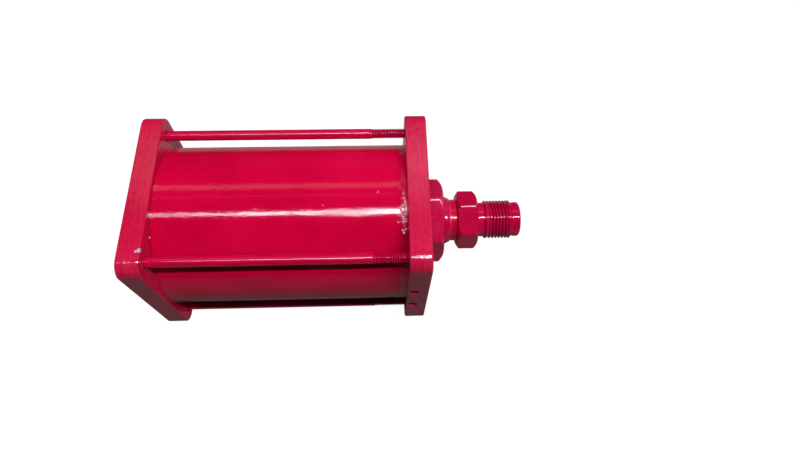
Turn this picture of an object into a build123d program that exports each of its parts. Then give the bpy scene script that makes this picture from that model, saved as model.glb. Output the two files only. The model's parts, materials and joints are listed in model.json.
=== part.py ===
from build123d import *
import math
import os

# Square-plate pneumatic cylinder, held together by four long tie bolts.
# Frame: X runs along the rod, +X towards the rod end. +Z is up. The origin is the centre of the
# rear plate's outer face. The rod is drawn fully retracted. All sizes are millimetres.
# Threads are plain cylinders: a screw at its major diameter, a tapped port at its tap drill.

INCH = 25.4

# ---- Driving dimensions ----------------------------------------------------------------------

# End plates
PLATE_SIDE = 3.125 * INCH
PLATE_THICKNESS = 10.0
PLATE_CORNER_RADIUS = 7.0
PLATE_EDGE_BREAK = 0.4
SPIGOT_LENGTH = 6.0
SPIGOT_CLEARANCE = 0.05

# Barrel
BARREL_DIAMETER = 3.0 * INCH
BORE_DIAMETER = 2.75 * INCH
BARREL_LENGTH = 4.4375 * INCH
BARREL_LEAD_IN = 0.6

# Tie bolts: number 10 socket head screws on a square pattern
BOLT_SPACING = 2.5 * INCH
BOLT_DIAMETER = 0.19 * INCH
BOLT_LENGTH = 5.0 * INCH
BOLT_HEAD_DIAMETER = 0.312 * INCH
BOLT_HEAD_HEIGHT = 0.19 * INCH
BOLT_SOCKET_ACROSS_FLATS = 0.156 * INCH
BOLT_SOCKET_DEPTH = 2.4
BOLT_TIP_CHAMFER = 0.5
COUNTERBORE_DIAMETER = 9.5
COUNTERBORE_DEPTH = 5.5
BOLT_CLEARANCE_HOLE = 5.2
SCREWED_GAP = 0.02

# Air ports
REAR_PORT_DIAMETER = 11.1
SIDE_PORT_DIAMETER = 4.04
SIDE_PORT_MOUTH_DIAMETER = 4.9
SIDE_PORT_SETBACK = 3.0
SIDE_PORT_HEIGHTS = (0.25 * INCH, -0.5 * INCH)
AIRWAY_DIAMETER = 3.2
AIRWAY_CIRCLE_RADIUS = 29.2

# O-rings, all of one section, drawn squeezed to their grooves
O_RING_GROOVE_WIDTH = 2.5
O_RING_GROOVE_DEPTH = 1.4
O_RING_SIDE_GAP = 0.1
O_RING_SQUEEZE_GAP = 0.02

# Hexagons of the stud, the gland and the piston nut, turned down at their corners
HEX_CHAMFER_ANGLE = 32.0
HEX_CHAMFER_INSET = 0.3

# Rod, and the stud screwed into its end
ROD_DIAMETER = 0.8125 * INCH
ROD_END_BEYOND_PLATE = 15.7
ROD_SPIGOT_DIAMETER = 0.625 * INCH
ROD_CHAMFER = 0.6
STUD_SPIGOT_DIAMETER = 0.5 * INCH
STUD_SPIGOT_LENGTH = 18.0
STUD_HEX_ACROSS_FLATS = 1.0 * INCH
STUD_HEX_LENGTH = 10.1
STUD_HEX_TURN = -5.5
STUD_RELIEF_DIAMETER = 17.1
STUD_RELIEF_LENGTH = 3.8
STUD_THREAD_DIAMETER = 0.75 * INCH
STUD_THREAD_LENGTH = 13.5
STUD_NOSE_DIAMETER = 17.25
STUD_NOSE_LENGTH = 4.3
STUD_NOSE_ROUNDING = 1.3

# Gland and what it holds
GLAND_HEX_ACROSS_FLATS = 1.4375 * INCH
GLAND_HEX_LENGTH = 8.6
GLAND_HEX_TURN = -6.5
GLAND_THREAD_DIAMETER = 1.25 * INCH
GLAND_RELIEF_DIAMETER = 29.0
GLAND_RELIEF_LENGTH = 1.8
GLAND_BORE_DIAMETER = 21.5
GLAND_SEAT_CHAMFER = 1.75
GLAND_O_RING_RADIUS = 0.87
BUSH_DIAMETER = 24.0
BUSH_LENGTH = 12.0
BUSH_SETBACK = 0.5
ROD_SEAL_GROOVE_DIAMETER = 26.6
ROD_SEAL_WIDTH = 4.4
ROD_SEAL_OUTWARD = 0.8
WIPER_SEAT_DIAMETER = 27.6
WIPER_SEAT_DEPTH = 3.2
WIPER_SHOULDER_SETBACK = 0.6
WIPER_LIP_DIAMETER = 23.6
WIPER_COLLAR_REACH = 2.0
WIPER_LIP_REACH = 3.6
WIPER_TIP_THICKNESS = 0.45

# Piston and what it carries
STROKE = 2.75 * INCH
STOP_GAP = 0.1
PISTON_DIAMETER = 69.0
PISTON_NUT_POCKET_DIAMETER = 32.0
PISTON_NUT_POCKET_DEPTH = 6.0
SEAL_GROOVE_WIDTH = 5.2
SEAL_GROOVE_DEPTH = 5.0
SEAL_LAND = 2.6
WEAR_RING_WIDTH = 6.0
WEAR_RING_THICKNESS = 2.0
WEAR_RING_SPLIT = 1.5
WEAR_RING_SPLIT_SLANT = 30
NUT_ACROSS_FLATS = 0.9375 * INCH
NUT_HEIGHT = 9.0
WASHER_DIAMETER = 29.0
WASHER_THICKNESS = 2.0
THREAD_BEYOND_NUT = 1.5

# Rubber stop rings
BUMPER_INNER_DIAMETER = 38.0
BUMPER_OUTER_DIAMETER = 52.0
BUMPER_SEAT_DEPTH = 1.5
BUMPER_PROUD = 3.0
NUT_RECESS_DIAMETER = 34.0

# Clearance of a sliding or turning fit, on the radius and along the rod
RUNNING_GAP = 0.04
AXIAL_GAP = 0.1

# ---- Stations along X, worked out from the above ----------------------------------------------

REAR_INNER_FACE = PLATE_THICKNESS
FRONT_INNER_FACE = REAR_INNER_FACE + BARREL_LENGTH
FRONT_OUTER_FACE = FRONT_INNER_FACE + PLATE_THICKNESS
REAR_SPIGOT_FACE = REAR_INNER_FACE + SPIGOT_LENGTH
FRONT_SPIGOT_FACE = FRONT_INNER_FACE - SPIGOT_LENGTH
GLAND_FACE = FRONT_OUTER_FACE + GLAND_HEX_LENGTH
ROD_FRONT_END = FRONT_OUTER_FACE + ROD_END_BEYOND_PLATE
PISTON_REAR_FACE = REAR_SPIGOT_FACE + BUMPER_PROUD + STOP_GAP
PISTON_FRONT_FACE = FRONT_SPIGOT_FACE - BUMPER_PROUD - STOP_GAP - STROKE
PISTON_MIDDLE = (PISTON_REAR_FACE + PISTON_FRONT_FACE) / 2
POCKET_FLOOR = PISTON_REAR_FACE + PISTON_NUT_POCKET_DEPTH
NUT_FRONT_FACE = POCKET_FLOOR - WASHER_THICKNESS
NUT_REAR_FACE = NUT_FRONT_FACE - NUT_HEIGHT
ROD_REAR_END = NUT_REAR_FACE - THREAD_BEYOND_NUT
SPIGOT_RADIUS = BORE_DIAMETER / 2 - SPIGOT_CLEARANCE
SIDE_PORT_X = FRONT_INNER_FACE + SIDE_PORT_SETBACK
BOLT_SEAT = COUNTERBORE_DEPTH


# ---- Helpers ----------------------------------------------------------------------------------


def turned(*points):
    """Solid of revolution about X, from an outline of (x, radius) points."""
    outline = make_face(Polyline(*points, close=True))
    return revolve(outline, axis=Axis.X)


def round_bar(start, end, diameter):
    """Round bar on the X axis."""
    return extrude(Plane.YZ.offset(start) * Circle(diameter / 2), end - start)


def ring(start, end, inner_diameter, outer_diameter):
    """Plain ring on the X axis."""
    return round_bar(start, end, outer_diameter) - round_bar(start, end, inner_diameter)


def hex_bar(start, end, across_flats, turn=0.0):
    """Hexagon bar on the X axis. Two flats face +Y and -Y when turn, in degrees, is 0.

    A positive turn carries the -Y flat downwards and the +Y flat upwards.
    """
    outline = RegularPolygon(across_flats / 2, 6, major_radius=False, rotation=30 + turn)
    return extrude(Plane.YZ.offset(start) * outline, end - start)


def chamfered_hex(start, end, across_flats, turn=0.0, rear_chamfer=True):
    """Hexagon bar with its corners chamfered in a lathe, at the front and perhaps the rear."""
    corner = across_flats / math.sqrt(3) + 0.1
    flat = across_flats / 2 - HEX_CHAMFER_INSET
    depth = (corner - flat) * math.tan(math.radians(HEX_CHAMFER_ANGLE))
    rear_rim = [(start, flat), (start + depth, corner)] if rear_chamfer else [(start, corner)]
    front_rim = [(end - depth, corner), (end, flat)]
    envelope = turned((start, 0), *rear_rim, *front_rim, (end, 0))
    return hex_bar(start, end, across_flats, turn) & envelope


def oval_ring(middle, inner_radius, outer_radius, width):
    """Squeezed O-ring on the X axis, filling the radial gap between two cylinders."""
    section = Ellipse(width / 2, (outer_radius - inner_radius) / 2)
    return revolve(Pos(middle, (inner_radius + outer_radius) / 2) * section, axis=Axis.X)


def bolt_positions():
    half = BOLT_SPACING / 2
    return {
        "near_top": (-half, half),
        "near_bottom": (-half, -half),
        "far_top": (half, half),
        "far_bottom": (half, -half),
    }


def plate_blank(start):
    """Square plate with rounded corners and broken edges."""
    outline = RectangleRounded(PLATE_SIDE, PLATE_SIDE, PLATE_CORNER_RADIUS)
    plate = extrude(Plane.YZ.offset(start) * outline, PLATE_THICKNESS)
    rims = plate.faces().sort_by(Axis.X)
    return chamfer(rims[0].edges() + rims[-1].edges(), PLATE_EDGE_BREAK)


def barrel_seal_groove(middle):
    bottom = 2 * (SPIGOT_RADIUS - O_RING_GROOVE_DEPTH)
    start = middle - O_RING_GROOVE_WIDTH / 2
    return ring(start, start + O_RING_GROOVE_WIDTH, bottom, BORE_DIAMETER + 1)


# ---- Fixed parts ------------------------------------------------------------------------------


def make_rear_plate():
    plate = plate_blank(0) + round_bar(REAR_INNER_FACE, REAR_SPIGOT_FACE, 2 * SPIGOT_RADIUS)
    plate -= barrel_seal_groove(REAR_INNER_FACE + SPIGOT_LENGTH / 2)
    plate -= round_bar(0, REAR_SPIGOT_FACE, REAR_PORT_DIAMETER)
    plate -= round_bar(REAR_INNER_FACE, REAR_SPIGOT_FACE, NUT_RECESS_DIAMETER)
    seat_floor = REAR_SPIGOT_FACE - BUMPER_SEAT_DEPTH
    plate -= ring(seat_floor, REAR_SPIGOT_FACE, BUMPER_INNER_DIAMETER, BUMPER_OUTER_DIAMETER)
    for y, z in bolt_positions().values():
        plate -= Pos(0, y, z) * round_bar(0, COUNTERBORE_DEPTH, COUNTERBORE_DIAMETER)
        plate -= Pos(0, y, z) * round_bar(0, PLATE_THICKNESS, BOLT_CLEARANCE_HOLE)
    return plate


def side_port_cutter(height):
    """Tapped hole in the near side, and the drilled way from its end to the rod-side chamber."""
    near_side = -PLATE_SIDE / 2
    airway_y = -math.sqrt(AIRWAY_CIRCLE_RADIUS**2 - height**2)
    depth = airway_y - near_side
    mouth_depth = (SIDE_PORT_MOUTH_DIAMETER - SIDE_PORT_DIAMETER) / 2
    into_plate = Plane((SIDE_PORT_X, near_side, height), x_dir=(1, 0, 0), z_dir=(0, 1, 0))
    hole = extrude(into_plate * Circle(SIDE_PORT_DIAMETER / 2), depth)
    mouth = into_plate * Pos(0, 0, mouth_depth / 2) * Cone(
        SIDE_PORT_MOUTH_DIAMETER / 2, SIDE_PORT_DIAMETER / 2, mouth_depth
    )
    airway = Pos(0, airway_y, height) * round_bar(FRONT_SPIGOT_FACE, SIDE_PORT_X, AIRWAY_DIAMETER)
    return hole + mouth + airway


def make_front_plate():
    plate = plate_blank(FRONT_INNER_FACE)
    plate += round_bar(FRONT_SPIGOT_FACE, FRONT_INNER_FACE, 2 * SPIGOT_RADIUS)
    plate -= barrel_seal_groove(FRONT_INNER_FACE - SPIGOT_LENGTH / 2)
    gland_hole = GLAND_THREAD_DIAMETER + 2 * SCREWED_GAP
    plate -= round_bar(FRONT_SPIGOT_FACE, FRONT_OUTER_FACE, gland_hole)
    plate -= turned(
        (FRONT_OUTER_FACE - GLAND_SEAT_CHAMFER, 0),
        (FRONT_OUTER_FACE - GLAND_SEAT_CHAMFER, gland_hole / 2),
        (FRONT_OUTER_FACE, gland_hole / 2 + GLAND_SEAT_CHAMFER),
        (FRONT_OUTER_FACE, 0),
    )
    seat_floor = FRONT_SPIGOT_FACE + BUMPER_SEAT_DEPTH
    plate -= ring(FRONT_SPIGOT_FACE, seat_floor, BUMPER_INNER_DIAMETER, BUMPER_OUTER_DIAMETER)
    for y, z in bolt_positions().values():
        tapped = BOLT_DIAMETER + 2 * SCREWED_GAP
        plate -= Pos(0, y, z) * round_bar(FRONT_INNER_FACE, FRONT_OUTER_FACE, tapped)
    for height in SIDE_PORT_HEIGHTS:
        plate -= side_port_cutter(height)
    return plate


def make_barrel():
    outer = BARREL_DIAMETER / 2
    bore = BORE_DIAMETER / 2
    lead = BARREL_LEAD_IN
    return turned(
        (REAR_INNER_FACE, bore + lead),
        (REAR_INNER_FACE, outer),
        (FRONT_INNER_FACE, outer),
        (FRONT_INNER_FACE, bore + lead),
        (FRONT_INNER_FACE - 2 * lead, bore),
        (REAR_INNER_FACE + 2 * lead, bore),
    )


def make_tie_bolt():
    """Socket head screw on the X axis, its head seated in the rear plate's counterbore."""
    head_top = BOLT_SEAT - BOLT_HEAD_HEIGHT
    head_radius = BOLT_HEAD_DIAMETER / 2
    tip = BOLT_SEAT + BOLT_LENGTH
    bolt = turned(
        (head_top, 0),
        (head_top, head_radius - BOLT_TIP_CHAMFER),
        (head_top + BOLT_TIP_CHAMFER, head_radius),
        (BOLT_SEAT, head_radius),
        (BOLT_SEAT, BOLT_DIAMETER / 2),
        (tip - BOLT_TIP_CHAMFER, BOLT_DIAMETER / 2),
        (tip, BOLT_DIAMETER / 2 - BOLT_TIP_CHAMFER),
        (tip, 0),
    )
    return bolt - hex_bar(head_top, head_top + BOLT_SOCKET_DEPTH, BOLT_SOCKET_ACROSS_FLATS)


def make_barrel_o_ring(middle):
    inner = SPIGOT_RADIUS - O_RING_GROOVE_DEPTH + O_RING_SQUEEZE_GAP
    outer = BORE_DIAMETER / 2 - O_RING_SQUEEZE_GAP
    return oval_ring(middle, inner, outer, O_RING_GROOVE_WIDTH - 2 * O_RING_SIDE_GAP)


def make_bumper(start):
    length = BUMPER_SEAT_DEPTH + BUMPER_PROUD
    bumper = ring(
        start,
        start + length,
        BUMPER_INNER_DIAMETER + 2 * AXIAL_GAP,
        BUMPER_OUTER_DIAMETER - 2 * AXIAL_GAP,
    )
    rims = bumper.edges().filter_by(GeomType.CIRCLE)
    return chamfer(rims, 0.5)


def make_rod_gland():
    """Hexagon gland: outside first, then the bore with its bush, seal and wiper seats."""
    thread_radius = GLAND_THREAD_DIAMETER / 2
    relief_start = FRONT_OUTER_FACE - GLAND_RELIEF_LENGTH
    stem = turned(
        (FRONT_SPIGOT_FACE, 0),
        (FRONT_SPIGOT_FACE, thread_radius - 0.8),
        (FRONT_SPIGOT_FACE + 0.8, thread_radius),
        (relief_start, thread_radius),
        (relief_start, GLAND_RELIEF_DIAMETER / 2),
        (FRONT_OUTER_FACE, GLAND_RELIEF_DIAMETER / 2),
        (FRONT_OUTER_FACE, 0),
    )
    head = chamfered_hex(
        FRONT_OUTER_FACE, GLAND_FACE, GLAND_HEX_ACROSS_FLATS, GLAND_HEX_TURN, rear_chamfer=False
    )
    gland = stem + head
    gland -= round_bar(FRONT_SPIGOT_FACE, GLAND_FACE, GLAND_BORE_DIAMETER)
    bush_seat_end = FRONT_SPIGOT_FACE + BUSH_SETBACK + BUSH_LENGTH
    gland -= round_bar(FRONT_SPIGOT_FACE, bush_seat_end, BUSH_DIAMETER + 2 * SCREWED_GAP)
    seal_start = FRONT_OUTER_FACE - ROD_SEAL_OUTWARD
    seal_end = seal_start + ROD_SEAL_WIDTH
    gland -= round_bar(seal_start, seal_end, ROD_SEAL_GROOVE_DIAMETER)
    return gland - round_bar(GLAND_FACE - WIPER_SEAT_DEPTH, GLAND_FACE, WIPER_SEAT_DIAMETER)


def make_gland_o_ring():
    radius = GLAND_O_RING_RADIUS
    middle = FRONT_OUTER_FACE - radius - O_RING_SQUEEZE_GAP
    pitch_radius = GLAND_RELIEF_DIAMETER / 2 + radius + O_RING_SQUEEZE_GAP
    return revolve(Pos(middle, pitch_radius) * Circle(radius), axis=Axis.X)


def make_guide_bush():
    start = FRONT_SPIGOT_FACE + BUSH_SETBACK
    return ring(start, start + BUSH_LENGTH, ROD_DIAMETER + 2 * RUNNING_GAP, BUSH_DIAMETER)


def make_rod_seal():
    """U-shaped lip seal, its open side towards the pressure."""
    start = FRONT_OUTER_FACE - ROD_SEAL_OUTWARD + AXIAL_GAP
    end = start + ROD_SEAL_WIDTH - 2 * AXIAL_GAP
    inner = ROD_DIAMETER / 2 + RUNNING_GAP
    outer = ROD_SEAL_GROOVE_DIAMETER / 2 - O_RING_SQUEEZE_GAP
    middle = (inner + outer) / 2
    return turned(
        (start, inner),
        (start, middle - 0.5),
        (start + ROD_SEAL_WIDTH / 2, middle),
        (start, middle + 0.5),
        (start, outer),
        (end, outer),
        (end, inner),
    )


def make_rod_wiper():
    """Wiper pressed into the gland's mouth, its lip reaching out along the rod."""
    seat = GLAND_FACE - WIPER_SEAT_DEPTH + O_RING_SQUEEZE_GAP
    inner = ROD_DIAMETER / 2 + RUNNING_GAP
    outer = WIPER_SEAT_DIAMETER / 2 - O_RING_SQUEEZE_GAP
    shoulder = GLAND_FACE - WIPER_SHOULDER_SETBACK
    collar = WIPER_LIP_DIAMETER / 2
    return turned(
        (seat, inner),
        (seat, outer),
        (shoulder, outer),
        (shoulder, collar - 0.4),
        (GLAND_FACE + 0.3, collar - 0.4),
        (GLAND_FACE + 0.7, collar),
        (GLAND_FACE + WIPER_COLLAR_REACH, collar - 0.2),
        (GLAND_FACE + WIPER_LIP_REACH, inner + WIPER_TIP_THICKNESS),
        (GLAND_FACE + WIPER_LIP_REACH, inner),
    )


# ---- Piston seals: they travel with the piston, which can turn inside them --------------------


def seal_groove_starts():
    """Start of the rear and the front seal groove in the piston."""
    return {
        "rear": PISTON_REAR_FACE + SEAL_LAND,
        "front": PISTON_FRONT_FACE - SEAL_LAND - SEAL_GROOVE_WIDTH,
    }


def make_piston_seal(start, lips_towards):
    """Lip seal in one of the piston's grooves; lips_towards is -1 for the rear, 1 for the front."""
    inner = PISTON_DIAMETER / 2 - SEAL_GROOVE_DEPTH + RUNNING_GAP
    outer = BORE_DIAMETER / 2 - RUNNING_GAP
    middle = (inner + outer) / 2
    width = SEAL_GROOVE_WIDTH - 2 * AXIAL_GAP
    centre = start + SEAL_GROOVE_WIDTH / 2
    heel = centre - lips_towards * width / 2
    lips = centre + lips_towards * width / 2
    return turned(
        (heel, inner),
        (lips, inner),
        (lips, middle - 1.0),
        (centre, middle),
        (lips, middle + 1.0),
        (lips, outer),
        (heel, outer),
    )


def make_wear_ring():
    outer = BORE_DIAMETER / 2 - RUNNING_GAP
    start = PISTON_MIDDLE - WEAR_RING_WIDTH / 2
    band = ring(start, start + WEAR_RING_WIDTH, 2 * (outer - WEAR_RING_THICKNESS), 2 * outer)
    split = Box(2 * WEAR_RING_WIDTH, 3 * WEAR_RING_THICKNESS, WEAR_RING_SPLIT)
    return band - Pos(PISTON_MIDDLE, outer, 0) * Rot(0, WEAR_RING_SPLIT_SLANT, 0) * split


# ---- Piston and rod ---------------------------------------------------------------------------


def piston_o_ring_middle():
    return (POCKET_FLOOR + PISTON_FRONT_FACE) / 2


def make_piston():
    piston = round_bar(PISTON_REAR_FACE, PISTON_FRONT_FACE, PISTON_DIAMETER)
    rims = piston.faces().sort_by(Axis.X)
    piston = chamfer(rims[0].edges() + rims[-1].edges(), 1.0)
    groove_bottom = PISTON_DIAMETER - 2 * SEAL_GROOVE_DEPTH
    for start in seal_groove_starts().values():
        piston -= ring(start, start + SEAL_GROOVE_WIDTH, groove_bottom, PISTON_DIAMETER + 1)
    ring_inner = BORE_DIAMETER - 2 * RUNNING_GAP - 2 * WEAR_RING_THICKNESS - 2 * RUNNING_GAP
    half_width = WEAR_RING_WIDTH / 2 + AXIAL_GAP
    piston -= ring(
        PISTON_MIDDLE - half_width, PISTON_MIDDLE + half_width, ring_inner, PISTON_DIAMETER + 1
    )
    piston -= round_bar(PISTON_REAR_FACE, POCKET_FLOOR, PISTON_NUT_POCKET_DIAMETER)
    bore = ROD_SPIGOT_DIAMETER + 2 * SCREWED_GAP
    piston -= round_bar(PISTON_REAR_FACE, PISTON_FRONT_FACE, bore)
    groove_start = piston_o_ring_middle() - O_RING_GROOVE_WIDTH / 2
    return piston - ring(
        groove_start,
        groove_start + O_RING_GROOVE_WIDTH,
        ROD_SPIGOT_DIAMETER,
        ROD_SPIGOT_DIAMETER + 2 * O_RING_GROOVE_DEPTH,
    )


def make_piston_o_ring():
    inner = ROD_SPIGOT_DIAMETER / 2 + O_RING_SQUEEZE_GAP
    outer = ROD_SPIGOT_DIAMETER / 2 + O_RING_GROOVE_DEPTH - O_RING_SQUEEZE_GAP
    return oval_ring(piston_o_ring_middle(), inner, outer, O_RING_GROOVE_WIDTH - 2 * O_RING_SIDE_GAP)


def make_piston_washer():
    bore = ROD_SPIGOT_DIAMETER + 0.4
    return ring(NUT_FRONT_FACE, POCKET_FLOOR, bore, WASHER_DIAMETER)


def make_piston_nut():
    blank = chamfered_hex(NUT_REAR_FACE, NUT_FRONT_FACE, NUT_ACROSS_FLATS)
    bore = ROD_SPIGOT_DIAMETER + 2 * SCREWED_GAP
    return blank - round_bar(NUT_REAR_FACE, NUT_FRONT_FACE, bore)


def make_piston_rod():
    rod_radius = ROD_DIAMETER / 2
    spigot_radius = ROD_SPIGOT_DIAMETER / 2
    rod = turned(
        (ROD_REAR_END, 0),
        (ROD_REAR_END, spigot_radius - ROD_CHAMFER),
        (ROD_REAR_END + ROD_CHAMFER, spigot_radius),
        (PISTON_FRONT_FACE, spigot_radius),
        (PISTON_FRONT_FACE, rod_radius),
        (ROD_FRONT_END - ROD_CHAMFER / 2, rod_radius),
        (ROD_FRONT_END, rod_radius - ROD_CHAMFER / 2),
        (ROD_FRONT_END, 0),
    )
    hole_depth = STUD_SPIGOT_LENGTH + 3.0
    hole = STUD_SPIGOT_DIAMETER + 2 * SCREWED_GAP
    return rod - round_bar(ROD_FRONT_END - hole_depth, ROD_FRONT_END, hole)


def make_rod_end_stud():
    """Stud with a hexagon: spigot inside the rod, then hexagon, relief, thread and nose outside."""
    hex_end = ROD_FRONT_END + STUD_HEX_LENGTH
    thread_start = hex_end + STUD_RELIEF_LENGTH
    thread_end = thread_start + STUD_THREAD_LENGTH
    nose_end = thread_end + STUD_NOSE_LENGTH
    spigot = round_bar(ROD_FRONT_END - STUD_SPIGOT_LENGTH, ROD_FRONT_END, STUD_SPIGOT_DIAMETER)
    spigot = chamfer(spigot.faces().sort_by(Axis.X)[0].edges(), 1.0)
    hexagon = chamfered_hex(ROD_FRONT_END, hex_end, STUD_HEX_ACROSS_FLATS, STUD_HEX_TURN)
    relief = round_bar(hex_end, thread_start, STUD_RELIEF_DIAMETER)
    thread = round_bar(thread_start, thread_end, STUD_THREAD_DIAMETER)
    nose = round_bar(thread_end, nose_end, STUD_NOSE_DIAMETER)
    nose = fillet(nose.faces().sort_by(Axis.X)[-1].edges(), STUD_NOSE_ROUNDING)
    return spigot + hexagon + relief + thread + nose


# ---- All nodes --------------------------------------------------------------------------------


def make_nodes():
    grooves = seal_groove_starts()
    nodes = {
        "rear_plate": make_rear_plate(),
        "front_plate": make_front_plate(),
        "barrel": make_barrel(),
        "rear_barrel_o_ring": make_barrel_o_ring(REAR_INNER_FACE + SPIGOT_LENGTH / 2),
        "front_barrel_o_ring": make_barrel_o_ring(FRONT_INNER_FACE - SPIGOT_LENGTH / 2),
        "rear_bumper": make_bumper(REAR_SPIGOT_FACE - BUMPER_SEAT_DEPTH),
        "front_bumper": make_bumper(FRONT_SPIGOT_FACE - BUMPER_PROUD),
        "rod_gland": make_rod_gland(),
        "gland_o_ring": make_gland_o_ring(),
        "guide_bush": make_guide_bush(),
        "rod_seal": make_rod_seal(),
        "rod_wiper": make_rod_wiper(),
        "rear_piston_seal": make_piston_seal(grooves["rear"], -1),
        "front_piston_seal": make_piston_seal(grooves["front"], 1),
        "wear_ring": make_wear_ring(),
        "piston": make_piston(),
        "piston_o_ring": make_piston_o_ring(),
        "piston_washer": make_piston_washer(),
        "piston_nut": make_piston_nut(),
        "piston_rod": make_piston_rod(),
        "rod_end_stud": make_rod_end_stud(),
    }
    for name, (y, z) in bolt_positions().items():
        nodes["tie_bolt_" + name] = Pos(0, y, z) * make_tie_bolt()
    return nodes


os.makedirs("parts", exist_ok=True)
for node, shape in make_nodes().items():
    export_step(shape, f"parts/{node}.step")
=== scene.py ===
import json
import math

import bmesh
import bpy
import numpy as np
from mathutils import Matrix, Vector


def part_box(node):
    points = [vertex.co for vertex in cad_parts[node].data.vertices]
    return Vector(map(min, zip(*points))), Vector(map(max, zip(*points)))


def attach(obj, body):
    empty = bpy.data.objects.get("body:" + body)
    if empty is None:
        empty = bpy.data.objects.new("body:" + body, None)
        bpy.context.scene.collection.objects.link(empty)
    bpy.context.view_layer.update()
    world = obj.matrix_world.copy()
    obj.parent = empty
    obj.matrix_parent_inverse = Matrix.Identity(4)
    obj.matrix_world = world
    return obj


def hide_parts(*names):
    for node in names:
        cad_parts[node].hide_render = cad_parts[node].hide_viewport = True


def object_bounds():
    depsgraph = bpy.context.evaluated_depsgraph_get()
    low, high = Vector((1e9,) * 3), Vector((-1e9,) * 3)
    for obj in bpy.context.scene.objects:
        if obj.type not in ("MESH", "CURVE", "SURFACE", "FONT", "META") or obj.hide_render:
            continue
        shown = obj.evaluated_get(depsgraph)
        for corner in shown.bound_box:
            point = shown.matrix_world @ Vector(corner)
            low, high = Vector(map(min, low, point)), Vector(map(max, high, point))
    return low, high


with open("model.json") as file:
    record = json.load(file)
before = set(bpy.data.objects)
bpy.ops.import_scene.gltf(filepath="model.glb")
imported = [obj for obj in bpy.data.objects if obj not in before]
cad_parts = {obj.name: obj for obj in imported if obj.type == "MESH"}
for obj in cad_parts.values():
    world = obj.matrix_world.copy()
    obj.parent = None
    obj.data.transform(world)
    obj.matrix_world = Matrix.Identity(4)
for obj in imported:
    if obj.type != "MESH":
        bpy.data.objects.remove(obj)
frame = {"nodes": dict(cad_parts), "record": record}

# Pneumatic cylinder: a round barrel between square plates, all sprayed crimson after assembly.
# Frame: X along the rod towards its threaded end, +Z up, -Y the side with the two small air ports.
# Lengths are metres.

MM = 0.001
TAU = 2 * math.pi
CAD_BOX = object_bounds()

# ---- Places and sizes, read from the frame ------------------------------------------------------

rear_plate, front_plate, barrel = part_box("rear_plate"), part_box("front_plate"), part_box("barrel")
gland, wiper, rod, stud = (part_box(n) for n in ("rod_gland", "rod_wiper", "piston_rod", "rod_end_stud"))

REAR_OUTER, REAR_INNER = rear_plate[0].x, barrel[0].x
FRONT_INNER, FRONT_OUTER = barrel[1].x, front_plate[1].x
REAR_SPIGOT, FRONT_SPIGOT = rear_plate[1].x, front_plate[0].x
HALF_SIDE = front_plate[1].z
FLOOR_Z = CAD_BOX[0].z
BARREL_RADIUS = barrel[1].z
GLAND_FACE = gland[1].x
ROD_RADIUS, ROD_END = rod[1].z, rod[1].x
STUD_END = stud[1].x
BOLTS = {n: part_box(n) for n in frame["nodes"] if n.startswith("tie_bolt_")}
MOUNTS = {m["name"]: m for m in frame["record"]["mounts"]}

# ---- Sizes of details -----------------------------------------------------------------------------

PLATE_CORNER = 7.0 * MM
PLATE_EDGE = 0.7 * MM
BORE_RADIUS = 34.925 * MM
SPIGOT_RADIUS = 34.875 * MM
SEAL_GROOVE_DEPTH = 1.4 * MM
SEAL_GROOVE_HALF_WIDTH = 1.25 * MM
BUMPER_SEAT_INNER, BUMPER_SEAT_OUTER, BUMPER_SEAT_DEPTH = 19.0 * MM, 26.0 * MM, 1.5 * MM
NUT_RECESS_RADIUS = 17.0 * MM
PAINT_FILLET = 0.7 * MM

BOLT_LINE = 31.75 * MM
BOLT_RADIUS = 2.413 * MM
BOLT_PITCH = 25.4 / 24 * MM
BOLT_THREAD_DEPTH = 0.42 * MM
BOLT_THREAD_LENGTH = 26.0 * MM
BOLT_SOCKET_FLAT = 1.98 * MM
BOLT_SOCKET_DEPTH = 2.4 * MM
COUNTERBORE_RADIUS = 4.75 * MM
COUNTERBORE_DEPTH = 5.5 * MM
COUNTERBORE_FLARE = 0.4 * MM
BOLT_HOLE_RADIUS = 2.6 * MM
BOLT_HOLE_FLARE = 0.55 * MM
TAPPED_RADIUS = 2.433 * MM

REAR_PORT_PITCH, REAR_PORT_BITE, REAR_PORT_TAPER = 25.4 / 18 * MM, 0.9 * MM, 1 / 32
SIDE_PORT_PITCH, SIDE_PORT_BITE, SIDE_PORT_FLARE = 25.4 / 32 * MM, 0.36 * MM, 0.25 * MM
AIRWAY_RADIUS = 1.6 * MM

HEX_SLOPE = 0.62
GLAND_FLAT, GLAND_TURN = 18.256 * MM, math.radians(-6.5)
GLAND_STEM_RADIUS, GLAND_NECK_RADIUS = 15.875 * MM, 14.5 * MM
GLAND_HOLE_RADIUS, GLAND_HOLE_FLARE = 15.895 * MM, 1.75 * MM
BUSH_BORE, ROD_BORE, SEAL_BORE, WIPER_BORE = 12.02 * MM, 10.75 * MM, 13.3 * MM, 13.8 * MM
WIPER_COLLAR_RADIUS = 11.8 * MM
STUD_FLAT, STUD_TURN = 12.7 * MM, math.radians(-5.5)
STUD_PITCH = 25.4 / 16 * MM
STUD_THREAD_DEPTH = 0.96 * MM
STUD_HEX_LENGTH = 10.1 * MM
STUD_RELIEF_RADIUS = 8.55 * MM
STUD_RELIEF_LENGTH = 3.8 * MM
STUD_THREAD_RADIUS = 9.525 * MM
STUD_THREAD_LENGTH = 13.5 * MM
STUD_NOSE_RADIUS = 8.625 * MM
STUD_NOSE_LENGTH = 4.3 * MM
STUD_SPIGOT_RADIUS = 6.35 * MM
ROD_SPIGOT_RADIUS = 7.9375 * MM
ROD_HOLE_RADIUS, ROD_HOLE_DEPTH = 6.37 * MM, 21.0 * MM
PAINTED_NECK = 3.7 * MM

# ---- Mesh helpers -----------------------------------------------------------------------------------


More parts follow.
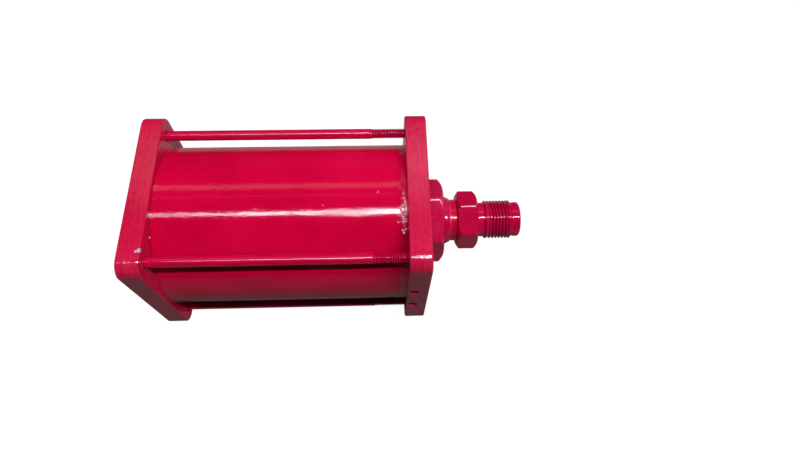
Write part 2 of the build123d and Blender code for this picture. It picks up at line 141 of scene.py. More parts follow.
def mesh_object(name, verts, faces):
    mesh = bpy.data.meshes.new(name)
    mesh.from_pydata(verts, [], faces)
    mesh.update()
    piece = bpy.data.objects.new(name, mesh)
    bpy.context.scene.collection.objects.link(piece)
    return piece


def smooth_finish(piece, sharp_degrees=38):
    """Smooth shading with crisp real edges, and flat faces kept flat beside small roundings."""
    work = bmesh.new()
    work.from_mesh(piece.data)
    bmesh.ops.remove_doubles(work, verts=work.verts, dist=5e-7)
    bmesh.ops.dissolve_degenerate(work, edges=work.edges, dist=1e-7)
    bmesh.ops.recalc_face_normals(work, faces=work.faces)
    work.to_mesh(piece.data)
    work.free()
    piece.data.shade_smooth()
    piece.data.set_sharp_from_angle(angle=math.radians(sharp_degrees))
    weighted = piece.modifiers.new("even_normals", "WEIGHTED_NORMAL")
    weighted.keep_sharp = True
    weighted.weight = 80
    return piece


def rounded(corners, steps=5):
    """Outline through (x, r, rounding) corners, each rounded by an arc."""
    outline = []
    for i, (x, r, rounding) in enumerate(corners):
        here = Vector((x, r))
        if rounding == 0 or i in (0, len(corners) - 1):
            outline.append(here)
            continue
        back = Vector(corners[i - 1][:2]) - here
        ahead = Vector(corners[i + 1][:2]) - here
        half_turn = (math.pi - back.angle(ahead)) / 2
        reach = min(rounding * math.tan(half_turn), 0.48 * back.length, 0.48 * ahead.length)
        radius = reach / math.tan(half_turn)
        start, end = here + back.normalized() * reach, here + ahead.normalized() * reach
        inward = (back.normalized() + ahead.normalized()).normalized()
        centre = here + inward * (radius / math.cos(half_turn))
        for k in range(steps + 1):
            spoke = (start - centre).slerp(end - centre, k / steps) if half_turn > 1e-3 else start - centre
            outline.append(centre + spoke.normalized() * radius)
    return outline


def divided(outline, step):
    """The same outline with points added so that none of its runs is longer than step."""
    points = [outline[0]]
    for here in outline[1:]:
        run = here - points[-1]
        count = max(1, math.ceil(run.length / step - 1e-6))
        start = points[-1].copy()
        points.extend(start + run * (k / count) for k in range(1, count + 1))
    return points


def turned(name, corners, segments, step=1.0, shape=None, closed=False, centre=(0.0, 0.0)):
    """Turned piece about an axis along X, from (x, r, rounding) corners.

    shape(x, r, angle) may change the radii, and closed joins the outline's two ends as in a tube.
    """
    outline = divided(rounded(corners + corners[:1] if closed else corners), step)
    if closed:
        outline = outline[:-1]
    angle = np.arange(segments) * TAU / segments
    x = np.array([p.x for p in outline])[:, None] + np.zeros(segments)
    r = np.array([p.y for p in outline])[:, None] + np.zeros(segments)
    if shape:
        r = shape(x, r, angle[None, :])
    verts = np.stack([x, r * np.cos(angle) + centre[0], r * np.sin(angle) + centre[1]], axis=2)
    rows = len(outline)
    faces = []
    for i in range(rows if closed else rows - 1):
        low, high = i * segments, (i + 1) % rows * segments
        for j in range(segments):
            k = (j + 1) % segments
            faces.append((low + j, low + k, high + k, high + j))
    return mesh_object(name, verts.reshape(-1, 3).tolist(), faces)


def hexagon(angle, flat, crispness=55):
    """Radius of a hexagon with a flat at angle 0, its corners slightly rounded."""
    total = 0
    for k in range(6):
        total = total + np.clip(np.cos(angle - k * TAU / 6), 1e-3, 1) ** crispness
    return flat * total ** (-1 / crispness)


def smaller(a, b, crispness=110):
    """Softened minimum of two radii."""
    low, high = np.minimum(a, b), np.maximum(a, b)
    return low * (1 + (low / high) ** crispness) ** (-1 / crispness)


def groove(turn):
    """Depth of a 60-degree thread, from 0 at its crests to 1 at its roots; turn counts its pitches."""
    away = np.abs(2 * (turn - np.floor(turn)) - 1)
    return np.clip((1 - away) * 1.45 - 0.2, 0, 1)


def fading(x, start, end, fade):
    """1 between start and end, running out to 0 at both."""
    return np.clip((x - start) / fade, 0, 1) * np.clip((end - x) / fade, 0, 1)


def screwed(name, before, after, length, pitch, depth, segments, shape, centre=(0.0, 0.0)):
    """Turned piece with a right-hand thread whose crests and roots run along the mesh's own lines.

    before and after are outlines of (x, r) points, and the thread lies between them. Each of its rows
    climbs by one pitch per turn, so at the seam a row meets the one that lies a pitch further on.
    """
    steps = 12
    start, radius = before[-1]
    count = round(length / pitch * steps)
    first, last = len(before) - 1, len(before) - 1 + count
    row = np.arange(count + 1)
    climb = np.minimum(np.minimum(row, count - row), steps)
    angle = np.arange(segments) * TAU / segments
    plain_x = np.array([p.x for p in before])[:, None] + np.zeros(segments)
    plain_r = np.array([p.y for p in before])[:, None] + np.zeros(segments)
    plain_r = shape(plain_x, plain_r, angle[None, :])
    x = start + length * row[:, None] / count + climb[:, None] / steps * pitch * angle[None, :] / TAU
    r = radius - depth * groove(row[:, None] / steps) * fading(x, start, start + length, 1.3 * pitch)
    end_x = np.array([p.x for p in after])[:, None] + np.zeros(segments)
    end_r = np.array([p.y for p in after])[:, None] + np.zeros(segments)
    x, r = np.concatenate([plain_x[:-1], x, end_x]), np.concatenate([plain_r[:-1], r, end_r])
    verts = np.stack([x, r * np.cos(angle) + centre[0], r * np.sin(angle) + centre[1]], axis=2)

    def seam(i):
        return i + int(climb[i - first]) if first <= i <= last else i

    faces = []
    for i in range(len(x) - 1):
        low, high = i * segments, (i + 1) * segments
        faces.extend((low + j, low + j + 1, high + j + 1, high + j) for j in range(segments - 1))
        met = [k * segments for k in range(seam(i), seam(i + 1) + 1)]
        faces.append((low + segments - 1, *met, high + segments - 1))
    return mesh_object(name, verts.reshape(-1, 3).tolist(), faces)


def boolean(piece, operation, cutter):
    """Applies one exact boolean and removes the cutter."""
    step = piece.modifiers.new("step", "BOOLEAN")
    step.operation, step.solver, step.object = operation, "EXACT", cutter
    view = bpy.context.evaluated_depsgraph_get()
    result = bpy.data.meshes.new_from_object(piece.evaluated_get(view), depsgraph=view)
    piece.modifiers.remove(step)
    piece.data = result
    bpy.data.objects.remove(cutter)


def along_y(cutter, x, z, y):
    """Turns a piece made along +X so that it runs along +Y from the point (x, y, z)."""
    cutter.data.transform(Matrix.Translation((x, y, z)) @ Matrix.Rotation(math.pi / 2, 4, "Z"))
    return cutter


# ---- Node helpers -----------------------------------------------------------------------------------


class Surface:
    """A material under construction: a Principled shader, and short calls that add nodes."""

    def __init__(self, name, roughness=0.4, metallic=0.0, **settings):
        self.material = bpy.data.materials.new(name)
        self.material.use_nodes = True
        self.tree = self.material.node_tree
        self.shader = self.tree.nodes["Principled BSDF"]
        self.shader.inputs["Roughness"].default_value = roughness
        self.shader.inputs["Metallic"].default_value = metallic
        for socket, value in settings.items():
            self.shader.inputs[socket.replace("_", " ")].default_value = value
        self.place = self.node("ShaderNodeTexCoord").outputs["Object"]

    def node(self, kind, inputs=(), **settings):
        made = self.tree.nodes.new(kind)
        for key, value in settings.items():
            setattr(made, key, value)
        for key, value in dict(inputs).items():
            if isinstance(value, bpy.types.NodeSocket):
                self.tree.links.new(value, made.inputs[key])
            else:
                made.inputs[key].default_value = value
        return made

    def maths(self, operation, a, b=0.0, c=0.0):
        return self.node("ShaderNodeMath", {0: a, 1: b, 2: c}, operation=operation).outputs[0]

    def add(self, *values):
        total = values[0]
        for value in values[1:]:
            total = self.maths("ADD", total, value)
        return total

    def times(self, a, b):
        return self.maths("MULTIPLY", a, b)

    def step(self, value, low, high, to_low=0.0, to_high=1.0):
        """Smooth change from to_low to to_high as value goes from low to high."""
        mapped = {"Value": value, "From Min": low, "From Max": high, "To Min": to_low, "To Max": to_high}
        return self.node("ShaderNodeMapRange", mapped, interpolation_type="SMOOTHSTEP").outputs[0]

    def centred(self, value):
        """Noise shifted so that its middle is at 0."""
        return self.maths("SUBTRACT", value, 0.5)

    def axis(self, index):
        """The place's coordinate along one axis."""
        return self.node("ShaderNodeSeparateXYZ", {0: self.place}).outputs[index]

    def away(self, index, centre=0.0):
        """Distance along one axis from the plane at centre."""
        return self.maths("ABSOLUTE", self.maths("SUBTRACT", self.axis(index), centre))

    def stretched(self, x, y, z):
        """The place with its axes scaled: a factor below 1 lengthens what is drawn along that axis."""
        scaled = self.node("ShaderNodeVectorMath", {0: self.place, 1: (x, y, z)}, operation="MULTIPLY")
        return scaled.outputs[0]

    def noise(self, size, detail=2.0, place=None, roughness=0.5):
        """Noise from 0 to 1 with features of the given size."""
        inputs = {"Vector": place or self.place, "Scale": 1 / size, "Detail": detail, "Roughness": roughness}
        return self.node("ShaderNodeTexNoise", inputs).outputs["Fac"]

    def specks(self, spacing, radius, share):
        """Soft round spots: a share of cells of the given spacing hold one each."""
        cells = self.node("ShaderNodeTexVoronoi", {"Vector": self.place, "Scale": 1 / spacing})
        draw = self.node("ShaderNodeSeparateColor", {"Color": cells.outputs["Color"]}).outputs[0]
        chosen = self.step(draw, 1 - share, 1 - share + 0.02)
        size = radius / spacing
        return self.times(chosen, self.step(cells.outputs["Distance"], size, 0.35 * size))

    def mix(self, share, a, b):
        made = self.node("ShaderNodeMix", data_type="RGBA")
        for index, value in ((0, share), (6, a), (7, b)):
            if isinstance(value, bpy.types.NodeSocket):
                self.tree.links.new(value, made.inputs[index])
            else:
                made.inputs[index].default_value = (*value, 1.0) if isinstance(value, tuple) else value
        return made.outputs[2]

    def distance(self, point, stretch):
        """Distance from a point, measured with the axes scaled by stretch."""
        centre = Vector(p * q for p, q in zip(point, stretch))
        ends = {0: self.stretched(*stretch), 1: centre}
        return self.node("ShaderNodeVectorMath", ends, operation="DISTANCE").outputs["Value"]

    def near(self, point, reach, rag, stretch=(1.0, 1.0, 1.0)):
        """Ragged spot round a point, 1 inside; stretch below 1 lengthens it along that axis."""
        ragged = self.add(self.distance(point, stretch), self.times(self.centred(self.noise(0.9 * MM, 3)), rag))
        return self.step(ragged, reach, 0.8 * reach)

    def finish(self, colour=None, roughness=None, height=None, metallic=None):
        """Links the parts that vary; height is in metres."""
        for socket, value in (("Base Color", colour), ("Roughness", roughness), ("Metallic", metallic)):
            if isinstance(value, bpy.types.NodeSocket):
                self.tree.links.new(value, self.shader.inputs[socket])
        if height is not None:
            bump = self.node("ShaderNodeBump", {"Height": height, "Distance": 1.0, "Strength": 1.0})
            self.tree.links.new(bump.outputs[0], self.shader.inputs["Normal"])
        return self.material


def dress(piece, material):
    piece.data.materials.clear()
    piece.data.materials.append(material)


# ---- Materials --------------------------------------------------------------------------------------

CRIMSON = (0.600, 0.0006, 0.0420)
BARREL_TONES = ((0.530, 0.0003, 0.0330), CRIMSON, (0.650, 0.0016, 0.0530))
# Plate tones: the crimson paint made pinker than the barrel's, a painted sheen for the milled plates' hazy
# reflection; the front plate's have less red.
PLATE_TONES_WITH_SHEEN = ((0.540, 0.0050, 0.0420), (0.600, 0.0085, 0.0540), (0.660, 0.0190, 0.0800))
FRONT_TONES_WITH_SHEEN = tuple((0.92 * r, g, b) for r, g, b in PLATE_TONES_WITH_SHEEN)
BOLT_TONES = ((0.500, 0.0008, 0.0400), (0.550, 0.0010, 0.0470), (0.590, 0.0024, 0.0600))
GLAND_TONES = ((0.500, 0.0020, 0.0450), (0.585, 0.0080, 0.0730), (0.630, 0.0140, 0.0960))
STUD_TONES = ((0.460, 0.0008, 0.0400), (0.535, 0.0028, 0.0570), (0.590, 0.0080, 0.0800))
CHIP = (0.44, 0.54, 0.74)
PRIMER = (0.36, 0.40, 0.52)
DULL = (0.30, 0.030, 0.060)
# Painted shade: the colour of the barrel where the front plate shades it.
PAINTED_SHADE = (0.32, 0.0002, 0.019)
SCRATCH = (0.26, 0.001, 0.024)
# Painted shade for thread roots and for the crease where the barrel meets each plate.
CREASE_SHADE = (0.075, 0.0004, 0.0060)


class Paint(Surface):
    """Gloss spray paint of uneven thickness, with orange peel and dust nibs; its methods add the rest.

    tones are the colours of thick, normal and thin paint. peel scales the orange peel and nibs the
    dust nibs. The paint is kept as its colour, its gloss (a roughness) and its height in metres.
    """

    def __init__(self, name, tones, roughness, peel, nibs=1.0, specular=0.5):
        super().__init__(name, roughness=roughness, Specular_IOR_Level=specular, IOR=1.5)
        self.thick, normal, self.thin = tones
        self.tone = self.noise(28 * MM, 3)
        cover = self.add(self.times(self.tone, 0.7), self.times(self.noise(2.2 * MM, 3), 0.3))
        self.colour = self.mix(self.step(cover, 0.35, 0.52), self.thick, normal)
        self.tint(self.step(cover, 0.52, 0.68), self.thin)
        self.height = self.add(
            self.times(self.noise(1.0 * MM, 1.0), 0.8e-5 * peel),
            self.times(self.noise(0.6 * MM, 1.0), 2.5e-6 * peel),
            self.times(self.specks(8.0 * MM, 0.90 * MM, 0.45), 1.3e-4 * nibs),
        )
        self.gloss = self.add(roughness, self.times(self.centred(self.noise(3.5 * MM, 2)), 0.06))
        self.bare = []

    def tint(self, share, colour):
        self.colour = self.mix(share, self.colour, colour)

    def lift(self, *heights):
        self.height = self.add(self.height, *heights)

    def ripples(self, height):
        self.lift(self.times(self.noise(9 * MM, 2), height))

    def drawn_marks(self, depth):
        """Marks along the X axis: long ones in patches, and short ones everywhere."""
        lines = self.noise(0.8 * MM, 3, self.stretched(0.012, 1.0, 1.0), 0.6)
        patches = self.step(self.noise(22 * MM, 2, self.stretched(0.4, 1.0, 1.0)), 0.45, 0.60)
        short = self.noise(0.85 * MM, 1, self.stretched(0.30, 1.0, 1.0))
        self.lift(self.times(self.times(lines, patches), 1.5 * depth), self.times(short, depth))

    def milling_marks(self, depth):
        """Fine and broad marks that run round the X axis, dark scratches on a plate's rim, dull patches."""
        lines = self.noise(0.55 * MM, 3, self.stretched(1.0, 0.035, 0.035), 0.6)
        broad = self.noise(2.6 * MM, 2, self.stretched(1.0, 0.06, 0.06))
        self.lift(self.times(lines, depth), self.times(broad, 2 * depth),
                  self.times(self.noise(1.7 * MM, 2), 2.2 * depth))
        self.gloss = self.add(self.gloss, self.times(self.centred(lines), 0.16))
        self.tint(self.times(self.step(lines, 0.50, 0.72), 0.6), self.thin)
        self.tint(self.times(self.step(lines, 0.46, 0.30), 0.8), self.thick)
        marks = self.step(self.noise(0.6 * MM, 1, self.stretched(1.0, 0.08, 0.08)), 0.60, 0.68)
        scratched = self.times(marks, self.step(self.noise(12 * MM, 2), 0.48, 0.60))
        outward = self.maths("MAXIMUM", self.away(1), self.away(2))
        on_rim = self.step(outward, HALF_SIDE - 1.2 * MM, HALF_SIDE - 0.9 * MM, 0.0, 0.5)
        self.tint(self.times(scratched, on_rim), SCRATCH)
        dull = self.times(self.step(broad, 0.56, 0.70), self.step(self.noise(13 * MM, 2), 0.50, 0.62))
        self.tint(self.times(dull, 0.30), DULL)

    def grains(self, where):
        """Coarse, shinier paint where the mask is above 0."""
        rough = self.add(self.times(self.noise(0.9 * MM, 0), 3.0e-4), self.times(self.noise(2.2 * MM, 0), 2.0e-4))
        self.lift(self.times(where, rough))
        shine = self.step(where, 0.0, 0.2, 0.5, 1.0)
        self.tree.links.new(shine, self.shader.inputs["Specular IOR Level"])

    def grainy_line(self, point):
        """A line of coarse paint through the point, along the X axis."""
        self.grains(self.times(self.near(point, 2.0 * MM, 1.6 * MM, (0.0, 1.0, 1.0)), 0.30))

    def joints(self, rear, front):
        """Coarse paint against the plates at the two x positions, with painted shade on the barrel near the front
        plate and in the crease at each joint.
        """
        to_rear, to_front = self.away(0, rear), self.away(0, front)
        # Painted shade on the barrel within 7 mm of the front plate.
        self.tint(self.step(to_front, 7.0 * MM, 0.5 * MM, 0.0, 0.5), PAINTED_SHADE)
        nearest = self.maths("MINIMUM", to_rear, to_front)
        # Painted shade: a thin dark line in the crease at each joint.
        self.tint(self.step(nearest, 0.6 * MM, 0.2 * MM, 0.0, 0.35), CREASE_SHADE)
        self.grains(self.maths("MAXIMUM", self.step(to_front, 3.8 * MM, 2.0 * MM),
                               self.step(to_rear, 3.0 * MM, 1.6 * MM, 0.0, 0.12)))

    def lump(self, point):
        """A low lump under the paint, longer along the X axis."""
        uneven = self.add(self.distance(point, (0.45, 1.0, 1.0)), self.times(self.tone, 1.5 * MM))
        self.lift(self.step(uneven, 6.5 * MM, 0.8 * MM, 0.0, 0.5 * MM))

    def root_shade(self, start, end, centre, crest, depth, share):
        """Painted shade in the roots of threads between two x, whose axes are at the distance centre in Y and in
        Z.
        """
        y = self.maths("SUBTRACT", self.away(1), centre)
        z = self.maths("SUBTRACT", self.away(2), centre)
        radius = self.maths("SQRT", self.add(self.times(y, y), self.times(z, z)))
        deep = self.step(radius, crest - 0.3 * depth, crest - 0.85 * depth)
        x = self.axis(0)
        between = self.times(self.step(x, start - 1 * MM, start), self.step(x, end, end - 0.1 * MM))
        # Painted shade in the thread roots.
        self.tint(self.times(self.times(deep, between), share), CREASE_SHADE)

    def chips(self, places):
        """Chips down to pale metal, each a (point, reach)."""
        self.bare += [self.near(point, reach, 1.1 * MM) for point, reach in places]

    def worn_edges(self, x_low, x_high, worn):
        """Paint rubbed off a square plate's edges; worn is how far the wear reaches."""
        to_face = self.maths("MINIMUM", self.away(0, x_low), self.away(0, x_high))
        straight = HALF_SIDE - PLATE_CORNER
        out_y = self.maths("MAXIMUM", self.maths("SUBTRACT", self.away(1), straight), 0.0)
        out_z = self.maths("MAXIMUM", self.maths("SUBTRACT", self.away(2), straight), 0.0)
        outward = self.maths("SQRT", self.add(self.times(out_y, out_y), self.times(out_z, out_z)))
        to_edge = self.maths("MAXIMUM", to_face, self.maths("SUBTRACT", PLATE_CORNER, outward))
        wear = self.add(self.noise(1.3 * MM, 4, roughness=0.7), self.times(self.noise(17 * MM, 2), 0.55))
        limit = self.step(to_edge, 0.0, 0.9 * MM, 1.17 - worn, 1.6)
        self.bare.append(self.step(self.maths("SUBTRACT", wear, limit), 0.0, 0.03))

    def done(self):
        """Takes the paint off where it is bare, and links everything."""
        if self.bare:
            bare = self.bare[0]
            for spot in self.bare[1:]:
                bare = self.maths("MAXIMUM", bare, spot)
            self.tint(bare, self.mix(self.noise(0.8 * MM, 2), CHIP, PRIMER))
            self.gloss = self.maths("MULTIPLY_ADD", bare, 0.25, self.gloss)
            self.height = self.maths("MULTIPLY_ADD", bare, -0.04 * MM, self.height)
        return self.finish(self.colour, self.gloss, self.height)


def plate_paint(name, tones, peel, ripples, marks, sides, chips=()):
    """Paint over a milled plate between two x; ripples and marks are heights. Its tones carry a painted sheen."""
    s = Paint(name, tones, 0.10, peel)
    s.ripples(ripples)
    s.milling_marks(marks)
    s.grainy_line(PLATE_LINE)
    s.chips(chips)
    s.worn_edges(*sides, 0.02)
    return s.done()


def barrel_paint():
    s = Paint("barrel_paint", BARREL_TONES, 0.075, 2.8)
    s.ripples(2.4e-5)
    s.drawn_marks(2.2e-5)
    s.joints(REAR_INNER, FRONT_INNER)
    s.lump(LUMP)
    s.chips(DOTS)
    return s.done()


def bolt_paint():
    s = Paint("bolt_paint", BOLT_TONES, 0.06, 0.15, nibs=0.08, specular=0.7)
    # Painted shade in the tie bolts' thread roots.
    s.root_shade(REAR_INNER + 5 * MM, 1.0, BOLT_LINE, BOLT_RADIUS, BOLT_THREAD_DEPTH, 0.7)
    return s.done()


def gland_paint():
    return Paint("fitting_paint", GLAND_TONES, 0.085, 0.5, nibs=0.3, specular=0.8).done()


def stud_paint():
    s = Paint("stud_paint", STUD_TONES, 0.085, 0.5, nibs=0.3, specular=0.8)
    # Painted shade in the stud's thread roots.
    s.root_shade(ROD_END + STUD_HEX_LENGTH + STUD_RELIEF_LENGTH, STUD_END - STUD_NOSE_LENGTH, 0.0,
                 STUD_THREAD_RADIUS, STUD_THREAD_DEPTH, 0.45)
    return s.done()


def dark_elastic(name, tone):
    """Rubber or plastic: mottled, matt and finely pitted."""
    s = Surface(name, roughness=0.6)
    colour = s.mix(s.noise(1.5 * MM, 3), tuple(0.7 * c for c in tone), tuple(1.35 * c for c in tone))
    gloss = s.add(0.5, s.times(s.noise(2 * MM, 3), 0.2))
    return s.finish(colour, gloss, s.times(s.noise(0.35 * MM, 3), 1.5e-5))


def turned_metal(name, light, dark, roughness, pitch, depth=2e-6):
    """Bare metal with fine turning marks round the X axis."""
    s = Surface(name, metallic=1.0)
    marks = s.noise(pitch, 3, s.stretched(1.0, 0.02, 0.02), 0.7)
    stains = s.noise(9 * MM, 4)
    colour = s.mix(s.step(s.add(s.times(marks, 0.5), s.times(stains, 0.5)), 0.38, 0.62), dark, light)
    gloss = s.add(roughness, s.times(marks, 0.12), s.times(stains, 0.10))
    return s.finish(colour, gloss, s.times(marks, depth))


def chrome_with_painted_neck(name, paint_end):
    """Hard chrome rod; spray paint covers the neck that was outside the wiper, with a ragged edge."""
    s = Surface(name)
    ragged = s.add(s.axis(0), s.times(s.centred(s.noise(1.8 * MM, 4)), 1.2 * MM))
    painted = s.step(ragged, paint_end - 0.15 * MM, paint_end + 0.15 * MM)
    marks = s.noise(0.25 * MM, 3, s.stretched(1.0, 0.05, 0.05), 0.6)
    wear = s.noise(1.1 * MM, 3, s.stretched(0.04, 1.0, 1.0))
    metal = s.mix(s.add(s.times(marks, 0.5), s.times(wear, 0.5)), (0.50, 0.51, 0.53), (0.66, 0.67, 0.68))
    colour = s.mix(painted, metal, CRIMSON)
    bright = s.add(0.20, s.times(marks, 0.08), s.times(wear, 0.12))
    gloss = s.maths("MULTIPLY_ADD", painted, -0.12, bright)
    peel = s.times(s.times(s.noise(1.6 * MM), painted), 5e-6)
    height = s.add(s.times(marks, 6e-7), s.times(painted, 4e-5), peel)
    return s.finish(colour, gloss, height, s.maths("SUBTRACT", 1.0, painted))


# ---- Pieces -----------------------------------------------------------------------------------------


def settle(piece, body, material, slot, *nodes, sharp_degrees=38):
    """Shading, material, and what the piece rides on and stands for."""
    smooth_finish(piece, sharp_degrees)
    dress(piece, material)
    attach(piece, body)
    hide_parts(*nodes)


def rounded_square(half, radius, corner_steps=14, side_steps=10):
    """Outline (y, z) of a square with rounded corners."""
    outline = []
    straight = half - radius
    to_corner = straight * math.sqrt(2)
    for k in range(4):
        turn = k * TAU / 4
        cy, cz = to_corner * math.cos(turn + TAU / 8), to_corner * math.sin(turn + TAU / 8)
        for i in range(corner_steps + 1):
            a = turn + i / corner_steps * TAU / 4
            outline.append((cy + radius * math.cos(a), cz + radius * math.sin(a)))
        y, z = outline[-1]
        side = Vector((-math.cos(turn), -math.sin(turn))) * (2 * straight)
        outline.extend((y + side.x * i / side_steps, z + side.y * i / side_steps) for i in range(1, side_steps))
    return outline


def plate_blank(name, x_low, x_high):
    """Square plate with rounded corners and softly rounded edges."""
    steps = 5
    angles = [k / steps * TAU / 4 for k in range(steps + 1)]
    rings = [(x_low + PLATE_EDGE * (1 - math.cos(a)), PLATE_EDGE * (1 - math.sin(a))) for a in angles]
    rings += [(x_low + x_high - x, inset) for x, inset in reversed(rings)]
    outlines = [[(x, y, z) for y, z in rounded_square(HALF_SIDE - inset, PLATE_CORNER - inset)]
                for x, inset in rings]
    count = len(outlines[0])
    faces = [tuple(range(count))[::-1]]
    for i in range(len(rings) - 1):
        low, high = i * count, (i + 1) * count
        for j in range(count):
            k = (j + 1) % count
            faces.append((low + j, low + k, high + k, high + j))
    faces.append(tuple(range((len(rings) - 1) * count, len(rings) * count)))
    return mesh_object(name, [v for outline in outlines for v in outline], faces)


def spigot(face, plate_side):
    """Round boss that centres the barrel, with its seal groove; it starts inside the plate."""
    inward = 1 if face < plate_side else -1
    root = plate_side + inward * 2 * MM
    middle = (face + plate_side) / 2
    outer_wall, inner_wall = (middle - inward * SEAL_GROOVE_HALF_WIDTH * k for k in (1, -1))
    floor = SPIGOT_RADIUS - SEAL_GROOVE_DEPTH
    return turned("spigot", [
        (face, 0, 0), (face, SPIGOT_RADIUS, 0.3 * MM),
        (outer_wall, SPIGOT_RADIUS, 0.1 * MM), (outer_wall, floor, 0.2 * MM),
        (inner_wall, floor, 0.2 * MM), (inner_wall, SPIGOT_RADIUS, 0.1 * MM),
        (root, SPIGOT_RADIUS, 0), (root, 0, 0)], 180)


def ring_cutter(face, depth):
    """Cuts the seat of the rubber stop ring into a spigot's face; depth is signed along X."""
    before, floor = face - depth * 0.5, face + depth
    return turned("seat", [(before, BUMPER_SEAT_INNER, 0), (before, BUMPER_SEAT_OUTER, 0),
                           (floor, BUMPER_SEAT_OUTER, 0), (floor, BUMPER_SEAT_INNER, 0)], 120, closed=True)


def hole_cutter(start, end, radius, centre=(0.0, 0.0), segments=48):
    """Plain round cutter along X, a little longer than the hole at both ends."""
    before, beyond = start - 1 * MM, end + 1 * MM
    return turned("hole", [(before, 0, 0), (before, radius, 0), (beyond, radius, 0), (beyond, 0, 0)],
                  segments, centre=centre)


def threaded_port(depth, radius, pitch, bite, taper=0.0, flare=0.5 * MM, segments=72):
    """Cutter for a tapped hole that runs along +X from its mouth at x = 0."""
    start = -flare

    def shape(x, r, angle):
        cut = bite * groove((x - start) / pitch + angle / TAU) * fading(x, start, depth, pitch)
        inside = (r > 0.5 * radius) & (x > 0)
        return np.where(inside, np.maximum(r, radius + bite - cut - taper * x), r)

    outside, mouth = -0.5 * MM, radius + bite + flare
    corners = [(outside, 0, 0), (outside, mouth, 0), (0, mouth, 0), (flare, radius + bite, 0.1 * MM),
               (flare + 0.01 * MM, radius, 0), (depth, radius, 0), (depth, 0, 0)]
    return turned("port", corners, segments, step=pitch / 9, shape=shape)


def bolt_centre(node):
    low, high = BOLTS[node]
    return (low.y + high.y) / 2, (low.z + high.z) / 2


def counterbored_hole(centre):
    """Cutter for a tie bolt's hole through the rear plate, flared where it meets both faces."""
    outside, seat, inside = REAR_OUTER - 1 * MM, REAR_OUTER + COUNTERBORE_DEPTH, REAR_INNER + 1 * MM
    mouth, flare = COUNTERBORE_RADIUS + COUNTERBORE_FLARE, BOLT_HOLE_RADIUS + BOLT_HOLE_FLARE
    return turned("counterbore", [
        (outside, 0, 0), (outside, mouth, 0), (REAR_OUTER, mouth, 0),
        (REAR_OUTER + COUNTERBORE_FLARE, COUNTERBORE_RADIUS, COUNTERBORE_FLARE),
        (seat, COUNTERBORE_RADIUS, 0), (seat, BOLT_HOLE_RADIUS, 0),
        (REAR_INNER - 0.5 * MM, BOLT_HOLE_RADIUS, 0), (REAR_INNER, flare, 0), (inside, flare, 0), (inside, 0, 0),
    ], 64, centre=centre)


def make_rear_plate():
    plate = plate_blank("rear_plate_painted", REAR_OUTER, REAR_INNER)
    boolean(plate, "UNION", spigot(REAR_SPIGOT, REAR_INNER))
    radius = MOUNTS["rear_port"]["dims"]["r_mm"] * MM
    tapped = threaded_port(REAR_INNER - REAR_OUTER + 0.5 * MM, radius, REAR_PORT_PITCH, REAR_PORT_BITE,
                           taper=REAR_PORT_TAPER, segments=96)
    boolean(plate, "DIFFERENCE", tapped)
    boolean(plate, "DIFFERENCE", hole_cutter(REAR_INNER, REAR_SPIGOT, NUT_RECESS_RADIUS, segments=96))
    boolean(plate, "DIFFERENCE", ring_cutter(REAR_SPIGOT, -BUMPER_SEAT_DEPTH))
    for node in BOLTS:
        boolean(plate, "DIFFERENCE", counterbored_hole(bolt_centre(node)))
    return plate


def make_front_plate():
    plate = plate_blank("front_plate_painted", FRONT_INNER, FRONT_OUTER)
    boolean(plate, "UNION", spigot(FRONT_SPIGOT, FRONT_INNER))
    inside, outside, mouth = FRONT_SPIGOT - 1 * MM, FRONT_OUTER + 1 * MM, GLAND_HOLE_RADIUS + GLAND_HOLE_FLARE
    bore = turned("bore", [
        (inside, 0, 0), (inside, GLAND_HOLE_RADIUS, 0), (FRONT_OUTER - GLAND_HOLE_FLARE, GLAND_HOLE_RADIUS, 0),
        (FRONT_OUTER, mouth, 0), (outside, mouth, 0), (outside, 0, 0)], 120)
    boolean(plate, "DIFFERENCE", bore)
    boolean(plate, "DIFFERENCE", ring_cutter(FRONT_SPIGOT, BUMPER_SEAT_DEPTH))
    for node in BOLTS:
        boolean(plate, "DIFFERENCE", hole_cutter(FRONT_INNER, FRONT_OUTER, TAPPED_RADIUS, bolt_centre(node)))
    for name in ("side_port_upper", "side_port_lower"):
        x, y, z = MOUNTS[name]["pos_m"]
        depth, radius = MOUNTS[name]["dims"]["length_mm"] * MM, MOUNTS[name]["dims"]["r_mm"] * MM
        port = threaded_port(depth, radius, SIDE_PORT_PITCH, SIDE_PORT_BITE, flare=SIDE_PORT_FLARE, segments=56)
        boolean(plate, "DIFFERENCE", along_y(port, x, z, -HALF_SIDE))
        airway = turned("airway", [(inside, 0, 0), (inside, AIRWAY_RADIUS, 0), (x, AIRWAY_RADIUS, 0), (x, 0, 0)],
                        24, centre=(-HALF_SIDE + depth, z))
        boolean(plate, "DIFFERENCE", airway)
    return plate


